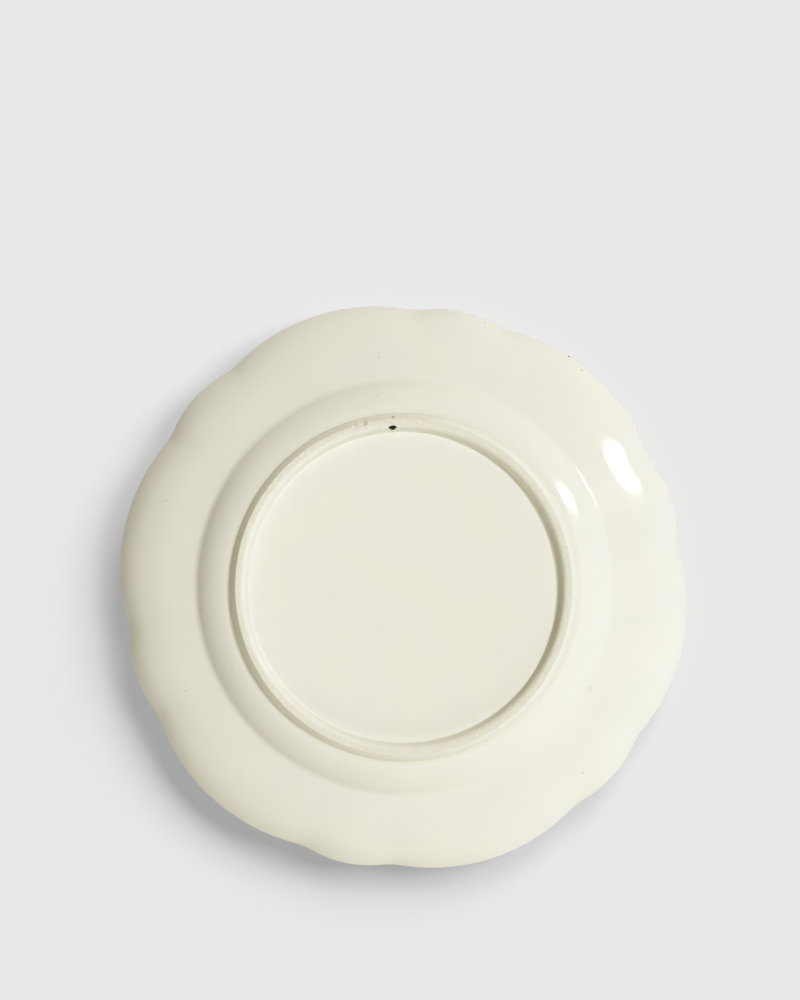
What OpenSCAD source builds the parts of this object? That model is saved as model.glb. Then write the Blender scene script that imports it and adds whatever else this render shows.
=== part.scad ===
// Scalloped dessert plate of glazed soft-paste porcelain, standing on its foot ring.
// The plate stands upright: +Z points up out of the eating face, the foot's bare edge lies
// at z = 0 and the origin is the centre of that edge. Lengths are millimetres.

/* [Plate] */
// Diameter across two opposite large lobes
plate_d = 240; // [228:1:280]
// Thickness of the well's floor, with both coats of glaze
well_t = 4.2; // [3.4:0.1:6]
// Thickness of the wall where the lip rounds over, with both coats of glaze
lip_t = 2.8; // [2:0.1:4]
// Thickness of each coat of glaze
glaze_t = 0.3; // [0.15:0.05:0.5]

/* [Well and rim] */
// Slope of the underside where it leaves the foot ring, in degrees
root_slope = 9; // [4:1:14]
// Bend of the cavetto, on the middle of the wall
cavetto_r = 17.5; // [14:0.5:20]
// Steepest slope of the cavetto, in degrees
cavetto_slope = 51; // [44:1:56]
// Bend of the shoulder between cavetto and rim, on the middle of the wall
shoulder_r = 6.5; // [5:0.1:10]
// Slope of the rim where it leaves the shoulder, in degrees
rim_slope = 13.5; // [8:0.5:20]
// Bend of the rim's curl, on the middle of the wall
curl_r = 56; // [45:1:62]
// Slope at which the curl tightens towards the lip, in degrees
curl_slope = 26; // [22:1:32]
// Bend of the tighter curl, on the middle of the wall
edge_curl_r = 24; // [18:1:30]
// Slope of the rim where it reaches the lip, in degrees
lip_slope = 54; // [46:1:58]

/* [Scallops] */
// Number of large lobes, each followed by a small one
lobe_pairs = 6; // [4:1:8]
// How far the small lobes' crests stand inside the large ones'
small_lobe_drop = 1.4; // [0.8:0.1:2.4]
// How far the notches between lobes would reach inside the large crests if they were sharp
notch_drop = 3.6; // [2.8:0.1:5]
// Width of a small lobe, from notch to notch
small_lobe_w = 37.6; // [30:0.1:44]
// Softness of the notches
notch_soft = 0.6; // [0.3:0.05:1.2]

/* [Foot ring] */
// Diameter of the foot's bare edge, to its outer side
foot_d = 138; // [125:0.1:145]
// Width of the bare edge that the plate stands on
bare_edge_w = 1.4; // [1:0.05:2.5]
// Height of the foot, from the bare edge to the glazed recess
foot_h = 4.5; // [3.6:0.1:6]
// Slope of the foot's inner flank, in degrees
inner_flank_slope = 68; // [55:1:74]
// Slope of the foot's outer flank, in degrees
outer_flank_slope = 59; // [50:1:70]
// Round between the bare edge and the inner flank, which the potter wiped off
inner_round = 2.6; // [1.6:0.1:3]
// Round between the bare edge and the outer flank
outer_round = 0.4; // [0.2:0.05:0.8]
// Fillet at the root of the inner flank
inner_fillet = 0.7; // [0.4:0.1:1.6]
// Fillet at the root of the outer flank
outer_fillet = 0.6; // [0.4:0.1:1.6]

/* [Suspension hole] */
// Diameter of the hole pierced through the foot ring
hole_d = 1.9; // [1.2:0.1:2.2]
// Clay left between the hole and the bare edge
hole_floor = 0.55; // [0.3:0.05:0.8]
// Direction of the hole, in degrees from the middle of a large lobe
hole_angle = 74; // [0:1:359]

/* [Hidden] */

clay_color = "#e3d9c5";
glaze_color = "#edeadc";

// Steps that divide each round stretch
cavetto_steps = 3;
shoulder_steps = 2;
curl_steps = 2;
edge_curl_steps = 3;
lip_steps = 2;
large_lobe_steps = 10;
small_lobe_steps = 4;
flank_steps = 6;

// How the outline's drop spreads over the rim: one at the lip, fading inwards to none
spread_power = 2;

// Length by which a drilled hole overruns the flanks
overrun = 1;

// The foot ring's half section. A flank rises from the edge of the bare face, and its fillet
// ends at foot_h with the slope of what it meets. Side is 1 for the outer flank and -1 for
// the inner one.
function flank_top(slope, fillet, end) = foot_h - fillet * (cos(end) - cos(slope));
function root_of(edge_r, side, round_r, slope, fillet, end) = edge_r + side * (round_r * sin(slope)
    + (flank_top(slope, fillet, end) - round_r * (1 - cos(slope))) / tan(slope)
    + fillet * (sin(slope) - sin(end)));
function flank(edge_r, side, round_r, slope, fillet, end) = concat(
    [for (i = [0 : flank_steps]) let (a = slope * i / flank_steps)
        [edge_r + side * round_r * sin(a), round_r * (1 - cos(a))]],
    [for (i = [0 : flank_steps]) let (a = slope + (end - slope) * i / flank_steps)
        [root_of(edge_r, side, round_r, slope, fillet, end) - side * fillet * (sin(a) - sin(end)),
            foot_h - fillet * (cos(end) - cos(a))]]);
function reversed(list) = [for (i = [len(list) - 1 : -1 : 0]) list[i]];

foot_outer_r = foot_d / 2;
foot_inner_r = foot_outer_r - bare_edge_w;
outer_root_r = root_of(foot_outer_r, 1, outer_round, outer_flank_slope, outer_fillet, root_slope);
inner_root_r = root_of(foot_inner_r, -1, inner_round, inner_flank_slope, inner_fillet, 0);
clay_floor_z = foot_h + glaze_t * cos(root_slope);
hole_z = hole_floor + hole_d / 2;

// The rim's large crests and sharp notches, and half the angle that each lobe takes up
crest_r = plate_d / 2;
notch_r = crest_r - notch_drop;
pair_angle = 360 / lobe_pairs;
small_half = asin(small_lobe_w / 2 / notch_r);
large_half = pair_angle / 2 - small_half;
// Half the angle of the widest step round the rim. The wall starts so far out that the straight
// sides of its rings clear the foot's round root.
half_step = max(large_half / large_lobe_steps, small_half / small_lobe_steps);
seam_r = outer_root_r / cos(half_step);

// The wall's middle line, as stations of radius, height and slope. An arc bends it from the
// slope where it starts to another: up where the slope grows, and down where it falls.
function bend(start, r, slope, steps) = [for (i = [1 : steps])
    let (a = start[2] + (slope - start[2]) * i / steps, side = sign(slope - start[2]))
        [start[0] + side * r * (sin(a) - sin(start[2])),
            start[1] + side * r * (cos(start[2]) - cos(a)), a]];
function last(list) = list[len(list) - 1];

// The cavetto rises from the flat well's edge, under which the foot ring stands, and the
// underside comes into view at the foot's root
root = [seam_r - well_t / 2 * sin(root_slope), foot_h + well_t / 2 * cos(root_slope), root_slope];
well_edge = [root[0] - cavetto_r * sin(root_slope), root[1] - cavetto_r * (1 - cos(root_slope)), 0];
cavetto = bend(root, cavetto_r, cavetto_slope, cavetto_steps);
shoulder = bend(last(cavetto), shoulder_r, rim_slope, shoulder_steps);
rim_start = last(shoulder);
lip_r = crest_r - lip_t / 2;
curl_start_r = lip_r - edge_curl_r * (sin(lip_slope) - sin(curl_slope))
    - curl_r * (sin(curl_slope) - sin(rim_slope));
curl_start = [curl_start_r, rim_start[1] + (curl_start_r - rim_start[0]) * tan(rim_slope), rim_slope];
curl = bend(curl_start, curl_r, curl_slope, curl_steps);
edge_curl = bend(last(curl), edge_curl_r, lip_slope, edge_curl_steps);
mid_line = concat([root], cavetto, shoulder, [curl_start], curl, edge_curl);
lip_end = last(mid_line);

// Half the wall at a station, thinning evenly from the foot's root to the lip
function half_wall(station) =
    (well_t + (lip_t - well_t) * max(0, station[0] - root[0]) / (lip_r - root[0])) / 2;
function spread(station) = pow(max(0, (station[0] - rim_start[0]) / (lip_r - rim_start[0])), spread_power);

// A surface that lies one coat inside the wall's skin, or on the skin where coat is zero.
// Each ring holds its radius at a crest, its height, and its share of the outline's drop.
function face_rings(stations, side, coat) = [for (s = stations) let (reach = side * (half_wall(s) - coat))
    [s[0] - reach * sin(s[2]), s[1] + reach * cos(s[2]), spread(s)]];
function lip_rings(side, coat) = [for (i = [lip_steps - 1 : -1 : 0])
    let (a = lip_slope + side * 90 * i / lip_steps, reach = lip_t / 2 - coat)
        [lip_end[0] + reach * cos(a), lip_end[1] + reach * sin(a), 1]];
function top_rings(coat) = concat(face_rings(concat([well_edge], mid_line), 1, coat), lip_rings(1, coat));
function under_rings(coat) = concat(face_rings(mid_line, -1, coat), lip_rings(-1, coat));

// The scalloped outline. Each lobe is an arc through its crest and its two notches, and the
// arcs meet in softened notches.
function arc_centre(crest, half) = (crest * crest - notch_r * notch_r) / 2 / (crest - notch_r * cos(half));
// Radius of a lobe's arc in the direction a from its middle. A ray that misses the arc gets
// the radius of its nearest point.
function lobe(a, crest, half) = let (c = arc_centre(crest, half), r = crest - c)
    c * cos(a) + sqrt(max(0, r * r - c * c * sin(a) * sin(a)));
function soft_max(a, b) = max(a, b) + notch_soft * ln(1 + exp(-abs(a - b) / notch_soft));
function outline(a) = soft_max(lobe(a, crest_r, large_half),
    lobe(pair_angle / 2 - abs(a), crest_r - small_lobe_drop, small_half));
// Directions of the loft's corners, closest where the outline turns most, and the drop in each
turn_in_pair = concat(
    [for (i = [0 : large_lobe_steps - 1]) large_half * (2 * i / large_lobe_steps - 1)],
    [for (i = [0 : small_lobe_steps - 1]) large_half + 2 * small_half * i / small_lobe_steps]);
corners = [for (p = [0 : lobe_pairs - 1], a = turn_in_pair)
    [p * pair_angle + a, crest_r - outline(a > pair_angle / 2 ? a - pair_angle : a)]];

// A loft through rings that each follow the outline as far as their share says. Where it is
// capped, its first and last rings are closed by flat discs, and otherwise they are joined.
module loft(rings, capped, inside_out) {
    n = len(corners);
    points = [for (ring = rings, c = corners) let (r = ring[0] - ring[2] * c[1])
        [r * cos(c[0]), r * sin(c[0]), ring[1]]];
    bands = [for (k = [0 : len(rings) - (capped ? 2 : 1)], j = [0 : n - 1])
        let (near = k * n, far = (k + 1) % len(rings) * n, next = (j + 1) % n)
            each [[near + j, near + next, far + next], [near + j, far + next, far + j]]];
    discs = capped
        ? [[for (j = [n - 1 : -1 : 0]) j], [for (j = [0 : n - 1]) (len(rings) - 1) * n + j]]
        : [];
    faces = concat(bands, discs);
    polyhedron(points, inside_out ? faces : [for (f = faces) reversed(f)], convexity = 4);
}

// Biscuit clay of the well, cavetto and scalloped rim, pressed over one mould
module body() {
    under = under_rings(glaze_t);
    // The lip's edge is the last ring of both faces, and belongs to the loft once
    lip_to_well = [for (i = [len(under) - 2 : -1 : 0]) top_rings(glaze_t)[i]];
    color(clay_color)
        loft(concat(under, lip_to_well), true, false);
}

// Ring of clay luted under the well, with its bare edge and the hole that a wire passes through
module foot_ring() {
    color(clay_color)
        difference() {
            rotate_extrude()
                polygon(concat(
                    [[inner_root_r, clay_floor_z]],
                    reversed(flank(foot_inner_r, -1, inner_round, inner_flank_slope, inner_fillet, 0)),
                    flank(foot_outer_r, 1, outer_round, outer_flank_slope, outer_fillet, root_slope),
                    [[outer_root_r - glaze_t * sin(root_slope), clay_floor_z]]));
            rotate(hole_angle)
                translate([inner_root_r - overrun, 0, hole_z])
                    rotate([0, 90, 0])
                        cylinder(d = hole_d, h = outer_root_r - inner_root_r + 2 * overrun);
        }
}

// Coat of glaze over the eating face, from the well's floor out to the lip's edge
module front_glaze() {
    color(glaze_color)
        loft(concat(top_rings(0), reversed(top_rings(glaze_t))), true, true);
}

// Coat of glaze under the rim and cavetto, from the lip's edge in to the foot ring's root
module back_glaze() {
    color(glaze_color)
        loft(concat(under_rings(glaze_t), reversed(under_rings(0))), false, true);
}

// Coat of glaze over the recess inside the foot ring
module recess_glaze() {
    color(glaze_color)
        translate([0, 0, foot_h])
            cylinder(r = inner_root_r, h = clay_floor_z - foot_h);
}

body();
foot_ring();
front_glaze();
back_glaze();
recess_glaze();
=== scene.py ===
import math

import bpy
from mathutils import Matrix, Vector


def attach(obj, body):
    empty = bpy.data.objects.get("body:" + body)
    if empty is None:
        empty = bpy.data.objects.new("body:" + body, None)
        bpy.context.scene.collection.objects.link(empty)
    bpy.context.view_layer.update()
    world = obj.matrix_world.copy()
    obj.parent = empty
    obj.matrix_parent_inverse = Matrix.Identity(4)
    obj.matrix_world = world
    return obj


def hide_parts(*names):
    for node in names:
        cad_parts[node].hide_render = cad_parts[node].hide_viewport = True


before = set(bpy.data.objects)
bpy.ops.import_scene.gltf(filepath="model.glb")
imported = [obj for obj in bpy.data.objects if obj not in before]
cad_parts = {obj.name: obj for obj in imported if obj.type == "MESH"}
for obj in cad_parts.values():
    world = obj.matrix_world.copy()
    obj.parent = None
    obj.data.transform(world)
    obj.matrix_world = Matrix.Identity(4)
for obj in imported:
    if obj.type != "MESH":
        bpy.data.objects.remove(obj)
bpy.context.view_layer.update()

# A scalloped dessert plate of cream glazed soft-paste porcelain. It stands on its foot
# ring, and the camera looks straight up at its back. Lengths are metres, and angles degrees.
mm = 0.001


def linear(hexColour):
    # sRGB hex to the linear colour that sockets take
    channels = [int(hexColour[i:i + 2], 16) / 255 for i in (1, 3, 5)]
    return [c / 12.92 if c <= 0.04045 else ((c + 0.055) / 1.055) ** 2.4 for c in channels] + [1]


def addNode(tree, kind, inputs=None, **settings):
    # One shader node: settings are its own options, inputs are values or links by socket
    made = tree.nodes.new(kind)
    for setting, value in settings.items():
        setattr(made, setting, value)
    for socket, value in (inputs or {}).items():
        if isinstance(value, bpy.types.NodeSocket):
            tree.links.new(value, made.inputs[socket])
        else:
            made.inputs[socket].default_value = value
    return made


# The plate's wall follows stations along the middle of its thickness
wallShape = {
    "diameter": 240 * mm,        # across two opposite large lobes
    "wellThick": 4.2 * mm,
    "lipThick": 2.8 * mm,
    "rootSlope": 9,              # where the underside leaves the foot
    "cavettoRadius": 20.6 * mm,
    "cavettoSlope": 46.5,
    "shoulderRadius": 7.5 * mm,
    "rimSlope": 13.5,
    "curlRadius": 56 * mm,
    "curlSlope": 26,             # where the curl tightens
    "edgeCurlRadius": 24 * mm,
    "lipSlope": 54,
    "stations": {"root": 4, "cavetto": 18, "shoulder": 12, "rim": 5, "curl": 8, "edgeCurl": 12, "lip": 8},
    "hiddenEvery": 2,            # hidden faces and the flat recess keep every second station or step
    "wellRings": 9,              # across the flat well
    "wellRingStep": 8 * mm,
    "turnSteps": 720,            # steps round the plate
}
scallops = {
    "pairs": 6,                  # a large and a small lobe in each
    "smallDrop": 1.4 * mm,
    "notchDrop": 3.6 * mm,
    "smallWidth": 37.6 * mm,
    "notchSoft": 0.6 * mm,
    "spreadPower": 2,            # how fast the scallops die out towards the well
}
footShape = {
    "diameter": 138 * mm,
    "bareWidth": 1.4 * mm,
    "height": 4.5 * mm,
    "innerSlope": 68,
    "outerSlope": 59,
    "innerRound": 2.6 * mm,      # wiped rounder inside than outside
    "outerRound": 0.4 * mm,
    "innerFillet": 0.7 * mm,
    "outerFillet": 0.6 * mm,
    "flankSteps": 8,             # along each round and fillet
    "edgeSteps": 10,             # across the bare edge
    "turnSteps": 1440,
    "holeDiameter": 1.9 * mm,
    "holeFloor": 0.55 * mm,      # clay left between the hole and the bare edge
    "holeAngle": 74,
    "holeSteps": 32,             # round the hole and its scooped mouth
    "drillLength": 20 * mm,
    "mouthOut": 66 * mm,         # the scoop at the hole's inner mouth, from the axis
    "mouthUp": 1.1 * mm,
    "mouthReach": (0.85 * mm, 1.8 * mm, 1.05 * mm),  # outwards, across and upwards
    "gritSize": 0.9 * mm,
    "gritDepth": 0.12 * mm,
    "gritTop": 0.25 * mm,        # height at which the grit has died out
    # Flakes lost from the edge: place across, size and depth in millimetres
    "chips": [
        (30.9, 62.2, 1.7, 0.7), (29.6, 62.4, 1.2, 0.4), (33.2, 60.6, 1.6, 0.3),
        (58.0, -34.0, 0.9, 0.15), (15.5, -65.6, 0.8, 0.15), (-63.0, -26.2, 0.9, 0.15),
        (-42.7, -53.1, 0.8, 0.15), (7.3, 67.9, 1.1, 0.1),
    ],
    "chipTop": 0.9,              # share of the foot's height below which a flake bites
    "chipSteepness": 1.6,
}
glazeCoat = {
    "thick": 0.3 * mm,
    "settled": 0.03 * mm,        # how far the fired skin lies inside its full thickness
    "waveSize": 26 * mm,         # from crest to crest of the glaze's uneven skin
    "waveDepth": 0.12 * mm,
    "rimFade": 6 * mm,           # width over which the waves die out towards the foot's outer root
    "recessFade": 9 * mm,        # and towards its inner root
    "recessRings": 20,
}


def sin(degrees):
    return math.sin(math.radians(degrees))


def cos(degrees):
    return math.cos(math.radians(degrees))


def flankPoints(edge, side, tipRound, slope, fillet, end):
    # From the bare edge up to the root, as radius and height. The fillet ends at the slope end.
    high = footShape["height"]
    rise = high - fillet * (cos(end) - cos(slope)) - tipRound * (1 - cos(slope))
    run = tipRound * sin(slope) + rise / (sin(slope) / cos(slope)) + fillet * (sin(slope) - sin(end))
    foot = edge + side * run
    shares = [i / footShape["flankSteps"] for i in range(footShape["flankSteps"] + 1)]
    tip = [(edge + side * tipRound * sin(slope * t), tipRound * (1 - cos(slope * t))) for t in shares]
    slopes = [slope + (end - slope) * t for t in shares]
    return tip + [(foot - side * fillet * (sin(a) - sin(end)), high - fillet * (cos(end) - cos(a)))
                  for a in slopes]


rootSlope, rimSlope = wallShape["rootSlope"], wallShape["rimSlope"]
curlSlope, lipSlope = wallShape["curlSlope"], wallShape["lipSlope"]
footOuter = footShape["diameter"] / 2
footInner = footOuter - footShape["bareWidth"]
outerFlank = flankPoints(footOuter, 1, footShape["outerRound"], footShape["outerSlope"],
                         footShape["outerFillet"], rootSlope)
innerFlank = flankPoints(footInner, -1, footShape["innerRound"], footShape["innerSlope"],
                         footShape["innerFillet"], 0)
outerRoot, innerRoot = outerFlank[-1][0], innerFlank[-1][0]
clayFloor = footShape["height"] + glazeCoat["thick"] * cos(rootSlope)


def bend(start, radius, slope, steps):
    # An arc from the slope where it starts to another, as stations of radius, height and slope
    r, z, first = start
    side = 1 if slope > first else -1
    slopes = [first + (slope - first) * i / steps for i in range(1, steps + 1)]
    return [(r + side * radius * (sin(a) - sin(first)), z + side * radius * (cos(first) - cos(a)), a)
            for a in slopes]


stations = wallShape["stations"]
halfWell = wallShape["wellThick"] / 2
root = (outerRoot - halfWell * sin(rootSlope), footShape["height"] + halfWell * cos(rootSlope), rootSlope)
wellEdge = (root[0] - wallShape["cavettoRadius"] * sin(rootSlope),
            root[1] - wallShape["cavettoRadius"] * (1 - cos(rootSlope)), 0)
rootBend = bend(wellEdge, wallShape["cavettoRadius"], rootSlope, stations["root"])[:-1]
cavetto = bend(root, wallShape["cavettoRadius"], wallShape["cavettoSlope"], stations["cavetto"])
shoulder = bend(cavetto[-1], wallShape["shoulderRadius"], rimSlope, stations["shoulder"])
rimStart = shoulder[-1]
lipMiddle = (wallShape["diameter"] - wallShape["lipThick"]) / 2
curlStart = (lipMiddle - wallShape["edgeCurlRadius"] * (sin(lipSlope) - sin(curlSlope))
             - wallShape["curlRadius"] * (sin(curlSlope) - sin(rimSlope)))
runs = [(curlStart - rimStart[0]) * i / stations["rim"] for i in range(1, stations["rim"] + 1)]
rim = [(rimStart[0] + run, rimStart[1] + run * sin(rimSlope) / cos(rimSlope), rimSlope) for run in runs]
curl = bend(rim[-1], wallShape["curlRadius"], curlSlope, stations["curl"])
edgeCurl = bend(curl[-1], wallShape["edgeCurlRadius"], lipSlope, stations["edgeCurl"])
middle = [root] + cavetto + shoulder + rim + curl + edgeCurl
lipEnd = middle[-1]
lipTop = lipEnd[1] + wallShape["lipThick"] / 2


def spread(radius):
    # Share of the scallops at a radius: none on the cavetto, all of them at the lip
    share = max(0, (radius - rimStart[0]) / (lipMiddle - rimStart[0]))
    return share ** scallops["spreadPower"]


def wallFace(side, coat, every=1):
    # Points of the eating face (side 1) or the underside (-1), from the well's edge round the lip
    # to its middle: radius, height, share of the scallops
    points = []
    kept = ([wellEdge] + rootBend if side > 0 else []) + middle[:-1:every] + [middle[-1]]
    for r, z, slope in kept:
        thinning = max(0, r - root[0]) / (lipMiddle - root[0])
        half = (wallShape["wellThick"] + (wallShape["lipThick"] - wallShape["wellThick"]) * thinning) / 2
        reach = side * (half - coat)
        points.append((r - reach * sin(slope), z + reach * cos(slope), spread(r)))
    steps = stations["lip"] // every
    reach = wallShape["lipThick"] / 2 - coat
    for i in range(steps - 1, -1, -1):
        a = lipSlope + side * 90 * i / steps
        points.append((lipEnd[0] + reach * cos(a), lipEnd[1] + reach * sin(a), 1))
    return points


crestRadius = wallShape["diameter"] / 2
notchRadius = crestRadius - scallops["notchDrop"]
pairAngle = 2 * math.pi / scallops["pairs"]
smallHalf = math.asin(scallops["smallWidth"] / 2 / notchRadius)
largeHalf = pairAngle / 2 - smallHalf


def lobe(angle, crest, half):
    # Radius at an angle from a lobe's middle. A lobe is an arc through its crest and two notches.
    centre = (crest ** 2 - notchRadius ** 2) / 2 / (crest - notchRadius * math.cos(half))
    under = (crest - centre) ** 2 - (centre * math.sin(angle)) ** 2
    return centre * math.cos(angle) + math.sqrt(max(0, under))


def outlineDrop(angle):
    # How far the outline lies inside the large lobes' crests in a direction
    a = (angle + pairAngle / 2) % pairAngle - pairAngle / 2
    large = lobe(a, crestRadius, largeHalf)
    small = lobe(pairAngle / 2 - abs(a), crestRadius - scallops["smallDrop"], smallHalf)
    soft = scallops["notchSoft"]
    return crestRadius - max(large, small) - soft * math.log(1 + math.exp(-abs(large - small) / soft))


# A turned piece: its section is drawn point by point, then spun round the axis
def drawSection(name, points, closed):
    bpy.ops.object.select_all(action="DESELECT")
    bpy.ops.mesh.primitive_plane_add(size=1 * mm, location=(0, 0, 0))
    piece = bpy.context.object
    piece.name = piece.data.name = name
    bpy.ops.object.mode_set(mode="EDIT")
    bpy.ops.mesh.select_all(action="SELECT")
    bpy.ops.mesh.merge(type="CENTER")
    bpy.ops.transform.translate(value=(points[0][0], 0, points[0][1]))
    for a, b in zip(points, points[1:]):
        bpy.ops.mesh.extrude_region_move(
            TRANSFORM_OT_translate={"value": (b[0] - a[0], 0, b[1] - a[1])})
    if closed:
        bpy.ops.object.mode_set(mode="OBJECT")
        for v in piece.data.vertices:
            v.select = v.index in (0, len(points) - 1)
        bpy.ops.object.mode_set(mode="EDIT")
        bpy.ops.mesh.edge_face_add()
    bpy.ops.object.mode_set(mode="OBJECT")
    return piece


def weigh(piece, groupName, weights):
    group = piece.vertex_groups.new(name=groupName)
    for i, weight in enumerate(weights):
        group.add([i], weight, "REPLACE")


def spinSection(piece, steps, wedges=12):
    # One wedge is spun, and the others are copies of it, turned round the axis
    axis = {"center": (0, 0, 0), "axis": (0, 0, 1)}
    turn = 2 * math.pi / wedges
    bpy.ops.object.mode_set(mode="EDIT")
    bpy.ops.mesh.select_all(action="SELECT")
    bpy.ops.mesh.spin(steps=steps // wedges, angle=turn, **axis)
    bpy.ops.mesh.select_all(action="SELECT")
    bpy.ops.mesh.spin(steps=wedges - 1, angle=turn * (wedges - 1), dupli=True, **axis)
    bpy.ops.mesh.select_all(action="SELECT")
    bpy.ops.mesh.remove_doubles(threshold=0.0001 * mm)
    bpy.ops.mesh.normals_make_consistent(inside=False)
    bpy.ops.object.mode_set(mode="OBJECT")


def scallop(piece):
    # Each point moves towards the axis by its share of the outline's drop
    index = piece.vertex_groups["scallops"].index
    for v in piece.data.vertices:
        share = next((g.weight for g in v.groups if g.group == index), 0)
        if share > 0:
            r, a = math.hypot(v.co.x, v.co.y), math.atan2(v.co.y, v.co.x)
            k = 1 - share * outlineDrop(a) / r
            v.co.x, v.co.y = v.co.x * k, v.co.y * k


def selectOnly(piece):
    bpy.ops.object.select_all(action="DESELECT")
    bpy.context.view_layer.objects.active = piece
    piece.select_set(True)


def applied(piece, kind, **settings):
    selectOnly(piece)
    made = piece.modifiers.new(kind.title(), kind)
    for setting, value in settings.items():
        setattr(made, setting, value)
    bpy.ops.object.modifier_apply(modifier=made.name)


def wave(piece):
    # The fired skin's gentle unevenness, only ever inwards
    cloud = bpy.data.textures.get("glazeWaves") or bpy.data.textures.new("glazeWaves", "CLOUDS")
    cloud.noise_scale, cloud.noise_depth = glazeCoat["waveSize"], 1
    applied(piece, "DISPLACE", texture=cloud, texture_coords="LOCAL", vertex_group="skin",
            mid_level=1, strength=glazeCoat["waveDepth"])


def smooth(piece, degrees=35):
    selectOnly(piece)
    bpy.ops.object.shade_smooth_by_angle(angle=math.radians(degrees))


def ease(t):
    # From 0 to 1, with no corner at either end
    t = max(0, min(1, t))
    return t * t * (3 - 2 * t)


def turned(name, sections, steps, closed=False):
    # sections holds radius, height, scallop share and skin weight of each point
    piece = drawSection(name, sections, closed)
    weigh(piece, "scallops", [p[2] for p in sections])
    weigh(piece, "skin", [p[3] for p in sections])
    spinSection(piece, steps)
    scallop(piece)
    wave(piece)
    smooth(piece)
    print("made", name, len(piece.data.polygons), "faces")
    return piece


def unskinned(points):
    return [(*p, 0) for p in points]


def skinned(points, seam=None):
    # The skin's waves fade out towards a seam at the foot, if there is one
    return [(*p, ease((p[0] - seam) / glazeCoat["rimFade"]) if seam else 1) for p in points]


coat, settled, every = glazeCoat["thick"], glazeCoat["settled"], wallShape["hiddenEvery"]
turnSteps = wallShape["turnSteps"]

# Biscuit clay of the well, cavetto and rim, under both coats
under, top = wallFace(-1, coat, every), wallFace(1, coat, every)
clayBody = turned("clayBody", unskinned(
    [(0, clayFloor, 0)] + under + top[-2::-1] + [(0, top[0][1], 0)]), turnSteps // every)

# Coat over the eating face
top, inside = wallFace(1, settled), wallFace(1, coat, every)
wellRings = [i * wallShape["wellRingStep"] for i in range(wallShape["wellRings"])]
frontGlaze = turned("frontGlaze", skinned([(r, top[0][1], 0) for r in wellRings] + top)
                    + unskinned(inside[::-1] + [(0, inside[0][1], 0)]), turnSteps)

# Coat under the rim and cavetto, in to the foot's root
under, inside = wallFace(-1, settled), wallFace(-1, coat, every)
backGlaze = turned("backGlaze", skinned([(outerRoot, footShape["height"], 0)] + under[1:], outerRoot)
                   + unskinned(inside[::-1]), turnSteps, closed=True)

# Coat over the recess inside the foot
recessRings = [innerRoot * i / glazeCoat["recessRings"] for i in range(glazeCoat["recessRings"] + 1)]
recessGlaze = turned("recessGlaze", [
    (r, footShape["height"], 0, ease((innerRoot - r) / glazeCoat["recessFade"])) for r in recessRings]
    + unskinned([(innerRoot, clayFloor, 0), (0, clayFloor, 0)]), turnSteps // every)


# Foot ring, luted on and turned, with its bare edge left gritty where it stood in the kiln
def grind(piece):
    # Grit and lost flakes, only ever inwards from the flat edge
    grit = bpy.data.textures.new("kilnGrit", "CLOUDS")
    grit.noise_scale, grit.noise_depth = footShape["gritSize"], 2
    applied(piece, "DISPLACE", texture=grit, texture_coords="LOCAL", vertex_group="skin",
            direction="Z", mid_level=0, strength=footShape["gritDepth"])
    for v in piece.data.vertices:
        if v.co.z < footShape["chipTop"] * footShape["height"]:
            for x, y, size, depth in footShape["chips"]:
                away = math.hypot(v.co.x - x * mm, v.co.y - y * mm)
                if away < size * mm:
                    v.co.z += depth * mm * ease(footShape["chipSteepness"] * (1 - away / (size * mm)))


def cutAway(piece, cutter):
    applied(piece, "BOOLEAN", object=cutter, operation="DIFFERENCE", solver="EXACT")
    bpy.data.objects.remove(cutter)


def pierce(piece):
    # The hole for a hanging wire, drilled outwards through the ring, and a scoop at its inner mouth
    steps, radius = footShape["holeSteps"], footShape["holeDiameter"] / 2
    direction = Vector((cos(footShape["holeAngle"]), sin(footShape["holeAngle"]), 0))
    centre = direction * (innerRoot + outerRoot) / 2
    centre.z = footShape["holeFloor"] + radius
    bpy.ops.object.select_all(action="DESELECT")
    bpy.ops.mesh.primitive_cylinder_add(
        vertices=steps, radius=radius, depth=footShape["drillLength"], location=centre,
        rotation=direction.to_track_quat("Z", "Y").to_euler())
    cutAway(piece, bpy.context.object)
    mouth = direction * footShape["mouthOut"] + Vector((0, 0, footShape["mouthUp"]))
    bpy.ops.object.select_all(action="DESELECT")
    bpy.ops.mesh.primitive_uv_sphere_add(
        segments=steps, ring_count=steps // 2, radius=1, location=mouth,
        rotation=(0, 0, math.radians(footShape["holeAngle"])), scale=footShape["mouthReach"])
    cutAway(piece, bpy.context.object)
    return centre, mouth, direction


edgeSteps = footShape["edgeSteps"]
edgeFace = [(footInner + footShape["bareWidth"] * i / edgeSteps, 0) for i in range(1, edgeSteps)]
footPoints = [(innerRoot, clayFloor)] + innerFlank[::-1] + edgeFace + outerFlank + [
    (outerRoot - coat * sin(rootSlope), clayFloor)]
footRing = drawSection("footRing", footPoints, True)
weigh(footRing, "skin", [1 - ease(z / footShape["gritTop"]) for r, z in footPoints])
spinSection(footRing, footShape["turnSteps"])
grind(footRing)
holeCentre, holeMouth, holeDirection = pierce(footRing)
smooth(footRing)
print("made footRing", len(footRing.data.polygons), "faces")

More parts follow.
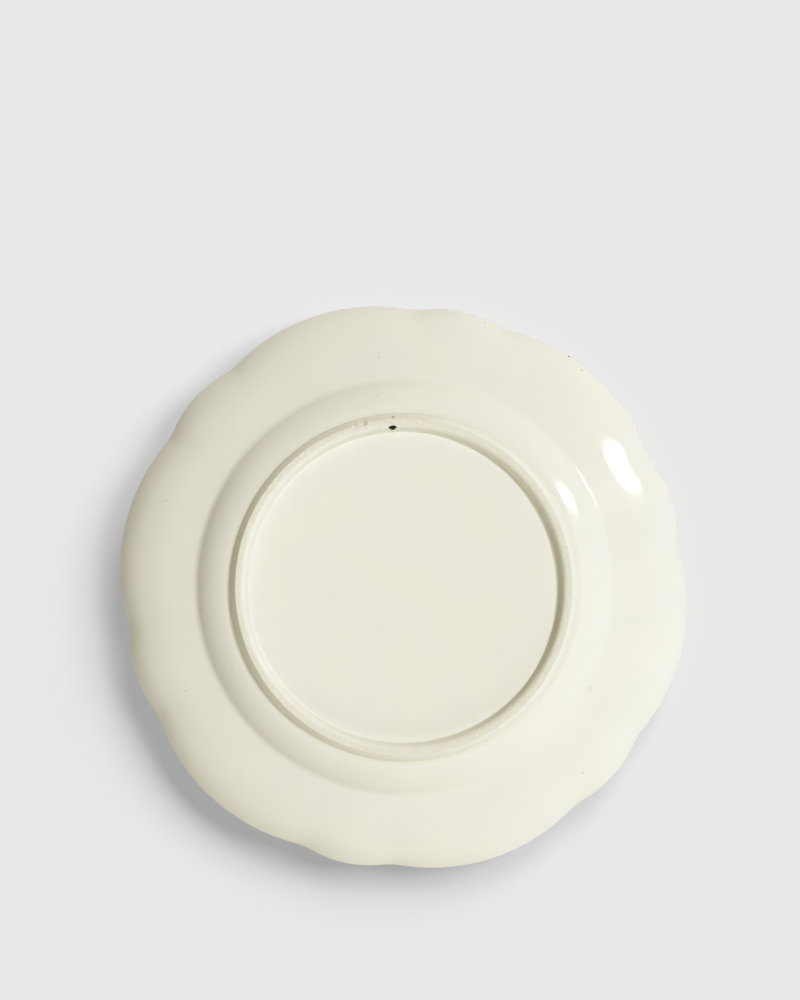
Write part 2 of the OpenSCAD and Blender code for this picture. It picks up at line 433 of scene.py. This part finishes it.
# Lead glaze, dipped and fired: thick and glossy, a little cooler in patches, darker and yellower
# at the foot's root as pooled glaze and painted shade, with a few specks of iron, pinholes and a faint orange
# peel
glazeLook = {
    "cream": "#ebe9d8",
    "coolCream": "#e9e7d8",
    "cloudSize": 24 * mm,        # across a cooler patch
    "cloudRange": (0.35, 0.65),  # of the noise, from the one cream to the other
    # darker cream of the pooled glaze and painted shade at the foot's root
    "pooledCream": "#e5e2ce",
    "pooledWidth": 2.2 * mm,     # of the ring of pooled glaze and painted shade at the foot's root
    "roughness": 0.06,
    "roughnessSpread": 0.05,
    "ior": 1.52,
    "peelSize": 4 * mm,
    "peelDepth": 0.006 * mm,
    "pinholeSpacing": 11 * mm,
    "pinholeGap": 0.55,          # share of the places that stay without one
    "pinholeSize": 0.45 * mm,
    "pinholeDepth": 0.04 * mm,
    "pinholeTint": "#a89f86",
    "pinholeStrength": 0.3,
    "speckCore": 0.2,            # a speck's dark core and its rim, as shares of its size
    "speckRim": 0.6,
}
# Specks under the back's glaze: place across in millimetres, size, strength and colour
specks = [
    (-47.6, 109.2, 0.9, 0.9, "#3d3526"), (-54.1, 104.5, 1.1, 0.55, "#93a468"),
    (-10.5, 115.7, 0.8, 0.5, "#8a7f68"), (104.5, 14.6, 0.7, 0.5, "#7a6d55"),
    (30.0, 91.2, 0.7, 0.5, "#8d8570"), (27.0, 75.4, 0.7, 0.45, "#8f8a72"),
    (80.8, -26.6, 0.8, 0.5, "#857a62"), (79.8, -61.0, 0.8, 0.45, "#857a62"),
    (62.3, -48.1, 0.8, 0.45, "#8d8570"), (-69.6, 51.6, 0.9, 0.35, "#9a927c"),
    (-89.1, -60.2, 0.8, 0.45, "#857a62"), (-84.2, -25.0, 2.6, 0.3, "#c2d3a4"),
]


def glazeParts(tree, spot, marks):
    # The glaze's colour and roughness, and the height of its skin in metres
    flat = addNode(tree, "ShaderNodeVectorMath", {0: spot, 1: (1, 1, 0)}, operation="MULTIPLY").outputs[0]
    clouds = addNode(tree, "ShaderNodeTexNoise", {
        "Vector": spot, "Scale": 1 / glazeLook["cloudSize"], "Detail": 2.0, "Roughness": 0.6})
    cooler = addNode(tree, "ShaderNodeMapRange", {
        "Value": clouds.outputs[0], "From Min": glazeLook["cloudRange"][0],
        "From Max": glazeLook["cloudRange"][1]})
    colour = addNode(tree, "ShaderNodeMix", {
        0: cooler.outputs[0], 6: linear(glazeLook["cream"]), 7: linear(glazeLook["coolCream"])},
        data_type="RGBA").outputs[2]
    # Pooled glaze and painted shade: darker and yellower in the crease against the foot's outer flank
    radius = addNode(tree, "ShaderNodeVectorMath", {0: flat}, operation="LENGTH")
    fromRoot = addNode(tree, "ShaderNodeMath", {0: radius.outputs["Value"], 1: outerRoot},
                       operation="SUBTRACT")
    apart = addNode(tree, "ShaderNodeMath", {0: fromRoot.outputs[0]}, operation="ABSOLUTE")
    pooledShade = addNode(tree, "ShaderNodeMapRange", {
        "Value": apart.outputs[0], "From Max": glazeLook["pooledWidth"], "To Min": 1.0, "To Max": 0.0},
        interpolation_type="SMOOTHSTEP")
    colour = addNode(tree, "ShaderNodeMix", {
        0: pooledShade.outputs[0], 6: colour, 7: linear(glazeLook["pooledCream"])}, data_type="RGBA").outputs[2]
    for x, y, size, strength, tint in marks:
        away = addNode(tree, "ShaderNodeVectorMath", {0: flat, 1: (x * mm, y * mm, 0)}, operation="DISTANCE")
        mark = addNode(tree, "ShaderNodeMapRange", {
            "Value": away.outputs["Value"], "From Min": glazeLook["speckCore"] * size * mm,
            "From Max": glazeLook["speckRim"] * size * mm, "To Min": strength, "To Max": 0.0},
            interpolation_type="SMOOTHSTEP")
        colour = addNode(tree, "ShaderNodeMix", {0: mark.outputs[0], 6: colour, 7: linear(tint)},
                         data_type="RGBA").outputs[2]
    # Pinholes stand in some cells of a loose scatter
    scatter = addNode(tree, "ShaderNodeTexVoronoi", {
        "Vector": spot, "Scale": 1 / glazeLook["pinholeSpacing"]})
    chosen = addNode(tree, "ShaderNodeSeparateColor", {0: scatter.outputs["Color"]})
    some = addNode(tree, "ShaderNodeMath", {0: chosen.outputs[0], 1: glazeLook["pinholeGap"]},
                   operation="GREATER_THAN")
    dimple = addNode(tree, "ShaderNodeMapRange", {
        "Value": scatter.outputs["Distance"],
        "From Max": glazeLook["pinholeSize"] / glazeLook["pinholeSpacing"],
        "To Min": 1.0, "To Max": 0.0}, interpolation_type="SMOOTHSTEP")
    pinhole = addNode(tree, "ShaderNodeMath", {0: dimple.outputs[0], 1: some.outputs[0]},
                      operation="MULTIPLY").outputs[0]
    faint = addNode(tree, "ShaderNodeMath", {0: pinhole, 1: glazeLook["pinholeStrength"]},
                    operation="MULTIPLY")
    colour = addNode(tree, "ShaderNodeMix", {
        0: faint.outputs[0], 6: colour, 7: linear(glazeLook["pinholeTint"])}, data_type="RGBA").outputs[2]
    peel = addNode(tree, "ShaderNodeTexNoise", {
        "Vector": spot, "Scale": 1 / glazeLook["peelSize"], "Detail": 1.0})
    skin = addNode(tree, "ShaderNodeMath", {0: peel.outputs[0], 1: glazeLook["peelDepth"]},
                   operation="MULTIPLY")
    height = addNode(tree, "ShaderNodeMath", {
        0: pinhole, 1: -glazeLook["pinholeDepth"], 2: skin.outputs[0]}, operation="MULTIPLY_ADD").outputs[0]
    roughness = addNode(tree, "ShaderNodeMapRange", {
        "Value": clouds.outputs[0], "To Min": glazeLook["roughness"],
        "To Max": glazeLook["roughness"] + glazeLook["roughnessSpread"]}).outputs[0]
    return colour, roughness, height


def madeMaterial(name):
    material = bpy.data.materials.new(name)
    material.use_nodes = True
    material.node_tree.nodes.clear()
    return material, material.node_tree


def surfaced(tree, colour, roughness, height, ior):
    bump = addNode(tree, "ShaderNodeBump", {"Strength": 1.0, "Distance": 1.0, "Height": height})
    shader = addNode(tree, "ShaderNodeBsdfPrincipled", {
        "Base Color": colour, "Roughness": roughness, "IOR": ior, "Normal": bump.outputs[0]})
    addNode(tree, "ShaderNodeOutputMaterial", {"Surface": shader.outputs["BSDF"]})


def glazed(name, marks):
    material, tree = madeMaterial(name)
    spot = addNode(tree, "ShaderNodeTexCoord").outputs["Object"]
    surfaced(tree, *glazeParts(tree, spot, marks), glazeLook["ior"])
    return material


backLeadGlaze = glazed("Cream lead glaze, specked", specks)
leadGlaze = glazed("Cream lead glaze", [])

# Soft-paste biscuit, fired once and left bare: matt, beige, a little sandy, stained pink and
# brown where it stood in the kiln
biscuitLook = {
    "beige": "#e5e2cb",
    "rosy": "#e7dece",
    "brown": "#b3a27f",
    "stainSize": 3.5 * mm,
    "rosyRange": (0.52, 0.7),    # of the stains' noise, from beige to rosy
    "grainSize": 0.5 * mm,       # coarser than the real grain, which would be too fine to see
    "grainDepth": 0.03 * mm,
    "brownRange": (0.55, 0.75),  # of the grain's noise, from no brown to the most of it
    "mostBrown": 0.55,
    "roughness": 0.7,
    "ior": 1.5,
}


def biscuitParts(tree, spot):
    # The clay's colour, and the height of its grain in metres
    stains = addNode(tree, "ShaderNodeTexNoise", {
        "Vector": spot, "Scale": 1 / biscuitLook["stainSize"], "Detail": 3.0})
    rosy = addNode(tree, "ShaderNodeMapRange", {
        "Value": stains.outputs[0], "From Min": biscuitLook["rosyRange"][0],
        "From Max": biscuitLook["rosyRange"][1]})
    grains = addNode(tree, "ShaderNodeTexNoise", {
        "Vector": spot, "Scale": 1 / biscuitLook["grainSize"], "Detail": 2.0})
    brown = addNode(tree, "ShaderNodeMapRange", {
        "Value": grains.outputs[0], "From Min": biscuitLook["brownRange"][0],
        "From Max": biscuitLook["brownRange"][1], "To Max": biscuitLook["mostBrown"]})
    colour = addNode(tree, "ShaderNodeMix", {
        0: rosy.outputs[0], 6: linear(biscuitLook["beige"]), 7: linear(biscuitLook["rosy"])},
        data_type="RGBA").outputs[2]
    colour = addNode(tree, "ShaderNodeMix", {
        0: brown.outputs[0], 6: colour, 7: linear(biscuitLook["brown"])}, data_type="RGBA").outputs[2]
    height = addNode(tree, "ShaderNodeMath", {0: grains.outputs[0], 1: biscuitLook["grainDepth"]},
                     operation="MULTIPLY").outputs[0]
    return colour, height


biscuitClay, tree = madeMaterial("Soft-paste biscuit")
spot = addNode(tree, "ShaderNodeTexCoord").outputs["Object"]
colour, height = biscuitParts(tree, spot)
surfaced(tree, colour, biscuitLook["roughness"], height, biscuitLook["ior"])

# The foot is glazed on its flanks. Its edge was wiped bare, unevenly, and more of it is bare
# on the outer side near the hole. The hole's wall and its scooped mouth are painted dark as shade.
footLook = {
    "bareHeight": 0.16 * mm,     # how far up the flanks the clay is bare
    "barerPlace": (24, 65),      # middle of the barer stretch, across in millimetres
    "barerReach": 24 * mm,
    "barerCore": 0.6,            # share of that reach which is barest
    "barerHeight": 2.1 * mm,
    "unevenSize": 1.6 * mm,
    "unevenHeight": 0.7 * mm,
    "unevenLow": 0.25,           # of the noise, where the bare clay reaches least
    "unevenHigh": 0.75,          # and most
    "glazeEdge": 0.08 * mm,      # half the width over which glaze gives way to clay
    # dark colour painted as shade in the hole and its scooped mouth
    "holeStain": "#2a2016",
    "outerStain": 0.22,          # share of the painted shade left at the hole's outer mouth
    "stainFade": 2 * mm,         # it weakens over this length outwards from the ring's middle
    "stainReach": 10 * mm,       # and is on this side of the ring only
    "pastHole": 1.12,            # where it ends, in the hole's radii
    "pastScoop": 1.03,           # and in the scoop's
}
footGlaze, tree = madeMaterial("Lead glaze over a bare biscuit edge")
spot = addNode(tree, "ShaderNodeTexCoord").outputs["Object"]
flat = addNode(tree, "ShaderNodeVectorMath", {0: spot, 1: (1, 1, 0)}, operation="MULTIPLY").outputs[0]
glazeColour, glazeRoughness, glazeHeight = glazeParts(tree, spot, [])
clayColour, clayHeight = biscuitParts(tree, spot)

# How high the clay is bare, and where that is
barer = addNode(tree, "ShaderNodeVectorMath", {
    0: flat, 1: [c * mm for c in footLook["barerPlace"]] + [0]}, operation="DISTANCE")
barerShare = addNode(tree, "ShaderNodeMapRange", {
    "Value": barer.outputs["Value"], "From Min": footLook["barerCore"] * footLook["barerReach"],
    "From Max": footLook["barerReach"], "To Min": 1.0, "To Max": 0.0}, interpolation_type="SMOOTHSTEP")
radius = addNode(tree, "ShaderNodeVectorMath", {0: flat}, operation="LENGTH")
outer = addNode(tree, "ShaderNodeMath", {0: radius.outputs["Value"], 1: (footInner + footOuter) / 2},
                operation="GREATER_THAN")
barerSide = addNode(tree, "ShaderNodeMath", {0: barerShare.outputs[0], 1: outer.outputs[0]},
                    operation="MULTIPLY")
limit = addNode(tree, "ShaderNodeMath", {
    0: barerSide.outputs[0], 1: footLook["barerHeight"], 2: footLook["bareHeight"]}, operation="MULTIPLY_ADD")
uneven = addNode(tree, "ShaderNodeTexNoise", {
    "Vector": flat, "Scale": 1 / footLook["unevenSize"], "Detail": 2.0})
drift = addNode(tree, "ShaderNodeMapRange", {
    "Value": uneven.outputs[0], "From Min": footLook["unevenLow"], "From Max": footLook["unevenHigh"],
    "To Min": -footLook["unevenHeight"] / 2, "To Max": footLook["unevenHeight"] / 2}, clamp=False)
drifted = addNode(tree, "ShaderNodeMath", {0: limit.outputs[0], 1: drift.outputs[0]}, operation="ADD")
split = addNode(tree, "ShaderNodeSeparateXYZ", {0: spot})
over = addNode(tree, "ShaderNodeMath", {0: drifted.outputs[0], 1: split.outputs[2]}, operation="SUBTRACT")
bare = addNode(tree, "ShaderNodeMapRange", {
    "Value": over.outputs[0], "From Min": -footLook["glazeEdge"],
    "From Max": footLook["glazeEdge"]}).outputs[0]
colour = addNode(tree, "ShaderNodeMix", {0: bare, 6: glazeColour, 7: clayColour}, data_type="RGBA").outputs[2]

# Painted shade in the hole, darkest at its inner mouth
fromHole = addNode(tree, "ShaderNodeVectorMath", {0: spot, 1: holeCentre}, operation="SUBTRACT").outputs[0]
outwards = addNode(tree, "ShaderNodeVectorMath", {0: fromHole, 1: holeDirection},
                   operation="DOT_PRODUCT").outputs["Value"]
thisSide = addNode(tree, "ShaderNodeMath", {0: outwards, 1: 0.0, 2: footLook["stainReach"]},
                   operation="COMPARE")
aside = addNode(tree, "ShaderNodeVectorMath", {0: fromHole, 1: holeDirection}, operation="CROSS_PRODUCT")
fromDrill = addNode(tree, "ShaderNodeVectorMath", {0: aside.outputs[0]}, operation="LENGTH")
inHole = addNode(tree, "ShaderNodeMapRange", {
    "Value": fromDrill.outputs["Value"], "From Min": footShape["holeDiameter"] / 2,
    "From Max": footLook["pastHole"] * footShape["holeDiameter"] / 2, "To Min": 1.0, "To Max": 0.0})
faded = addNode(tree, "ShaderNodeMapRange", {
    "Value": outwards, "From Max": footLook["stainFade"], "To Min": 1.0, "To Max": footLook["outerStain"]})
bored = addNode(tree, "ShaderNodeMath", {0: inHole.outputs[0], 1: thisSide.outputs[0]}, operation="MULTIPLY")
boredShade = addNode(tree, "ShaderNodeMath", {0: bored.outputs[0], 1: faded.outputs[0]}, operation="MULTIPLY")
inScoop = addNode(tree, "ShaderNodeMapping", {
    "Vector": spot, "Location": holeMouth, "Rotation": (0, 0, math.radians(footShape["holeAngle"])),
    "Scale": footShape["mouthReach"]}, vector_type="TEXTURE")
fromMouth = addNode(tree, "ShaderNodeVectorMath", {0: inScoop.outputs[0]}, operation="LENGTH")
scoopShade = addNode(tree, "ShaderNodeMath", {0: fromMouth.outputs["Value"], 1: footLook["pastScoop"]},
                     operation="LESS_THAN")
holeShade = addNode(tree, "ShaderNodeMath", {0: boredShade.outputs[0], 1: scoopShade.outputs[0]},
                operation="MAXIMUM").outputs[0]
# the hole and its scoop take the painted shade
colour = addNode(tree, "ShaderNodeMix", {0: holeShade, 6: colour, 7: linear(footLook["holeStain"])},
                 data_type="RGBA").outputs[2]

matt = addNode(tree, "ShaderNodeMath", {0: bare, 1: holeShade}, operation="MAXIMUM").outputs[0]
roughness = addNode(tree, "ShaderNodeMix", {0: matt, 2: glazeRoughness, 3: biscuitLook["roughness"]})
height = addNode(tree, "ShaderNodeMix", {0: bare, 2: glazeHeight, 3: clayHeight})
surfaced(tree, colour, roughness.outputs[0], height.outputs[0], glazeLook["ior"])

# Each piece stands for its CAD solid and takes its finish
finishes = {
    clayBody: ("body", "biscuit_clay", biscuitClay),
    frontGlaze: ("front_glaze", "cream_glaze", leadGlaze),
    backGlaze: ("back_glaze", "cream_glaze", backLeadGlaze),
    recessGlaze: ("recess_glaze", "cream_glaze", backLeadGlaze),
    footRing: ("foot_ring", "glazed_foot", footGlaze),
}
for piece, (nodeName, slotName, material) in finishes.items():
    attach(piece, "root")
    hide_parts(nodeName)
    piece.data.materials.clear()
    piece.data.materials.append(material)
print("finished", len(finishes), "pieces")

# The camera looks straight up along the plate's axis, so that it sees the back as it lies in
# the picture, which was framed with the plate below its middle
viewPoint = {
    "turn": 168,                 # direction of the picture's right from the plate's +X
    "distance": 1.2,             # below the lip
    "pixel": 0.421 * mm,         # size of a picture point at the lip
    "frameHeight": 1000,         # of the picture, in points
    "axisRight": 3.8,            # where the plate's axis stands in the picture, in points
    "axisDown": 87.2,
    "sensor": 36,                # in millimetres, as the lens is
    "clips": (0.01, 50),
}
rightWay = Vector((cos(viewPoint["turn"]), sin(viewPoint["turn"]), 0))
upWay = Vector((rightWay.y, -rightWay.x, 0))
backWay = Vector((0, 0, -1))
place = Vector((0, 0, lipTop - viewPoint["distance"]))
camera = bpy.data.objects.new("camera", bpy.data.cameras.new("camera"))
bpy.context.scene.collection.objects.link(camera)
camera.matrix_world = Matrix.Translation(place) @ Matrix((rightWay, upWay, backWay)).transposed().to_4x4()
camera.data.sensor_width = viewPoint["sensor"]
camera.data.lens = camera.data.sensor_width * viewPoint["distance"] / (
    viewPoint["frameHeight"] * viewPoint["pixel"])
camera.data.shift_x = -viewPoint["axisRight"] / viewPoint["frameHeight"]
camera.data.shift_y = viewPoint["axisDown"] / viewPoint["frameHeight"]
camera.data.clip_start, camera.data.clip_end = viewPoint["clips"]
bpy.context.scene.camera = camera

# Pale paper lies behind the lip, where the camera sees it from below, and under the foot,
# where it is seen from above. Each sheet shows its front alone. The one behind the lip also
# throws light back on the curled rim and the eating face.
stageLook = {
    "pale": "#e8e8e8",
    "size": 30,
    "behindLip": 11.4 * mm,
    "lampShare": 0.54,           # of the pale colour that a lamp gives, so that a shadow falls there
    "paperTone": 0.25,           # darker paper under stronger lamps, so that the plate doesn't glow on it
    "mirrored": "#e9e7dd",       # the room, as the glaze mirrors it
}


def stagePlane(name, height, facingUp):
    bpy.ops.object.select_all(action="DESELECT")
    bpy.ops.mesh.primitive_plane_add(size=stageLook["size"], location=(0, 0, height))
    plane = bpy.context.object
    plane.name = name
    if not facingUp:
        bpy.ops.object.mode_set(mode="EDIT")
        bpy.ops.mesh.flip_normals()
        bpy.ops.object.mode_set(mode="OBJECT")
    return plane


def stagePaper(name, rayKinds, caught=0):
    # Matt paper whose front alone is there, for some kinds of ray. What it catches from the
    # other sheet is taken off its glow.
    material, tree = madeMaterial(name)
    share = stageLook["lampShare"]
    paper = addNode(tree, "ShaderNodeBsdfDiffuse", {
        "Color": [c * share * stageLook["paperTone"] for c in pale[:3]] + [1]})
    glow = addNode(tree, "ShaderNodeEmission", {"Color": pale, "Strength": 1 - share - caught})
    both = addNode(tree, "ShaderNodeAddShader", {0: paper.outputs[0], 1: glow.outputs[0]})
    path = addNode(tree, "ShaderNodeLightPath")
    side = addNode(tree, "ShaderNodeNewGeometry")
    front = addNode(tree, "ShaderNodeMath", {0: 1.0, 1: side.outputs["Backfacing"]}, operation="SUBTRACT")
    met = 0.0
    for kind in rayKinds:
        met = addNode(tree, "ShaderNodeMath", {0: met, 1: path.outputs[kind]}, operation="MAXIMUM").outputs[0]
    seen = addNode(tree, "ShaderNodeMath", {0: front.outputs[0], 1: met}, operation="MULTIPLY")
    clear = addNode(tree, "ShaderNodeBsdfTransparent")
    mixed = addNode(tree, "ShaderNodeMixShader", {
        0: seen.outputs[0], 1: clear.outputs[0], 2: both.outputs[0]})
    addNode(tree, "ShaderNodeOutputMaterial", {"Surface": mixed.outputs[0]})
    return material


pale = linear(stageLook["pale"])
table = stagePlane("table", lipTop + stageLook["behindLip"], False)
table.data.materials.append(stagePaper(
    "Pale matt paper behind", ("Is Camera Ray", "Is Diffuse Ray", "Is Glossy Ray")))
floor = stagePlane("floor", 0, True)
floor.data.materials.append(stagePaper(
    "Pale matt paper below", ("Is Camera Ray",), stageLook["lampShare"] * stageLook["paperTone"] * pale[0]))
print("laid the stage")

# Two soft keys from the picture's right, the steeper one broad and warm and the flatter one
# cool, and weak warm lamps on the other sides. Azimuths run anticlockwise from the picture's
# right and zeniths from straight at the plate. A share is the part of a flat face's colour
# that a white lamp gives, and with the lamps' colours each channel adds up to about 1. Lamps
# below the plate light its back, and those above it light its front.
lit = {name: bpy.data.collections.new(name) for name in ("litBack", "litFront", "litTable", "litFloor")}
for piece in finishes:
    lit["litFront" if piece == frontGlaze else "litBack"].objects.link(piece)
lit["litTable"].objects.link(table)
lit["litFloor"].objects.link(floor)
creamy, bluish, golden, ivory, white = "#fffdee", "#e7ebff", "#ffe789", "#fffcf3", "#ffffff"
plate, paper = ("litBack", "litFront"), ("litTable", "litFloor")
frontShare = 0.58  # the paper behind the lip lights the eating face too, so its lamps are weaker
lamps = {
    "keyNear": {"azimuth": 0, "zenith": 14, "share": 0.3, "spread": 26, "colour": creamy, "on": plate},
    "keyFar": {"azimuth": 20, "zenith": 38, "share": 0.63, "spread": 10, "colour": bluish, "on": plate},
    "top": {"azimuth": 90, "zenith": 72, "share": 0.045, "spread": 26, "colour": golden, "on": plate},
    "left": {"azimuth": 205, "zenith": 62, "share": 0.035, "spread": 26, "colour": golden, "on": plate},
    "bottom": {"azimuth": 270, "zenith": 72, "share": 0.103, "spread": 26, "colour": ivory, "on": plate},
    "paperRight": {"azimuth": 22, "zenith": 51, "share": 0.61, "spread": 32, "colour": white, "on": paper},
    "paperUpper": {"azimuth": 66, "zenith": 51, "share": 0.39, "spread": 28, "colour": white, "on": paper},
}


def lampTurn(azimuth, zenith, below):
    # Rotation that points a lamp at the plate, and the way to the lamp
    a = viewPoint["turn"] - azimuth
    away = Vector((sin(zenith) * cos(a), sin(zenith) * sin(a), -cos(zenith) if below else cos(zenith)))
    across = Vector((-sin(a), cos(a), 0))
    return Matrix((across, away.cross(across), away)).transposed().to_4x4(), away


for name, lamp in lamps.items():
    for below in (True, False):
        light = bpy.data.lights.new(name, "SUN")
        # A sun of strength pi that stands straight above shows a colour as it is written
        light.energy = math.pi * lamp["share"] / cos(lamp["zenith"])
        if lamp["on"] == paper:
            light.energy /= stageLook["paperTone"]
        light.angle = math.radians(lamp["spread"])
        light.color = linear(lamp["colour"])[:3]
        light.cycles.use_multiple_importance_sampling = False
        if not below:
            light.cycles.max_bounces = 0  # so that the face away from the camera doesn't glow on the paper
            if lamp["on"] == plate:
                light.energy *= frontShare
        sun = bpy.data.objects.new(name + ("Below" if below else "Above"), light)
        sun.matrix_world = lampTurn(lamp["azimuth"], lamp["zenith"], below)[0]
        sun.visible_camera = sun.visible_glossy = False
        sun.light_linking.receiver_collection = lit[lamp["on"][0 if below else 1]]
        bpy.context.scene.collection.objects.link(sun)

# Softboxes that show only as reflections in the glaze: the main one, and a dim one beside it
softboxes = {
    "main": {"azimuth": 29, "zenith": 52.5, "across": 0.19, "high": 0.52, "roll": -4, "glow": 15},
    "dim": {"azimuth": 23, "zenith": 48, "across": 0.15, "high": 0.56, "roll": -6, "glow": 2},
}
softboxDistance = 1.3
for name, softbox in softboxes.items():
    for below in (True, False):
        light = bpy.data.lights.new(name + "Softbox", "AREA")
        light.shape, light.size, light.size_y = "ELLIPSE", softbox["across"], softbox["high"]
        light.energy = softbox["glow"] * softbox["across"] * softbox["high"]
        turn, away = lampTurn(softbox["azimuth"], softbox["zenith"], below)
        box = bpy.data.objects.new(light.name + ("Below" if below else "Above"), light)
        box.matrix_world = Matrix.Translation(away * softboxDistance) @ turn @ Matrix.Rotation(
            math.radians(softbox["roll"]), 4, "Z")
        box.visible_camera = box.visible_diffuse = box.visible_transmission = False
        box.light_linking.receiver_collection = lit["litBack" if below else "litFront"]
        bpy.context.scene.collection.objects.link(box)

# The glaze mirrors a pale room, which lights nothing, and the camera sees the pale backdrop
world = bpy.data.worlds.new("studio")
world.use_nodes = True
bpy.context.scene.world = world
tree = world.node_tree
tree.nodes.clear()
path = addNode(tree, "ShaderNodeLightPath")
room = addNode(tree, "ShaderNodeBackground", {"Color": linear("#ffffff"), "Strength": 0.0})
mirror = addNode(tree, "ShaderNodeBackground", {"Color": linear(stageLook["mirrored"]), "Strength": 1.0})
backdrop = addNode(tree, "ShaderNodeBackground", {"Color": pale, "Strength": 1.0})
glossy = addNode(tree, "ShaderNodeMixShader", {
    0: path.outputs["Is Glossy Ray"], 1: room.outputs[0], 2: mirror.outputs[0]})
whole = addNode(tree, "ShaderNodeMixShader", {
    0: path.outputs["Is Camera Ray"], 1: glossy.outputs[0], 2: backdrop.outputs[0]})
addNode(tree, "ShaderNodeOutputWorld", {"Surface": whole.outputs[0]})
bpy.context.scene.view_settings.view_transform = "Standard"
print("lit")
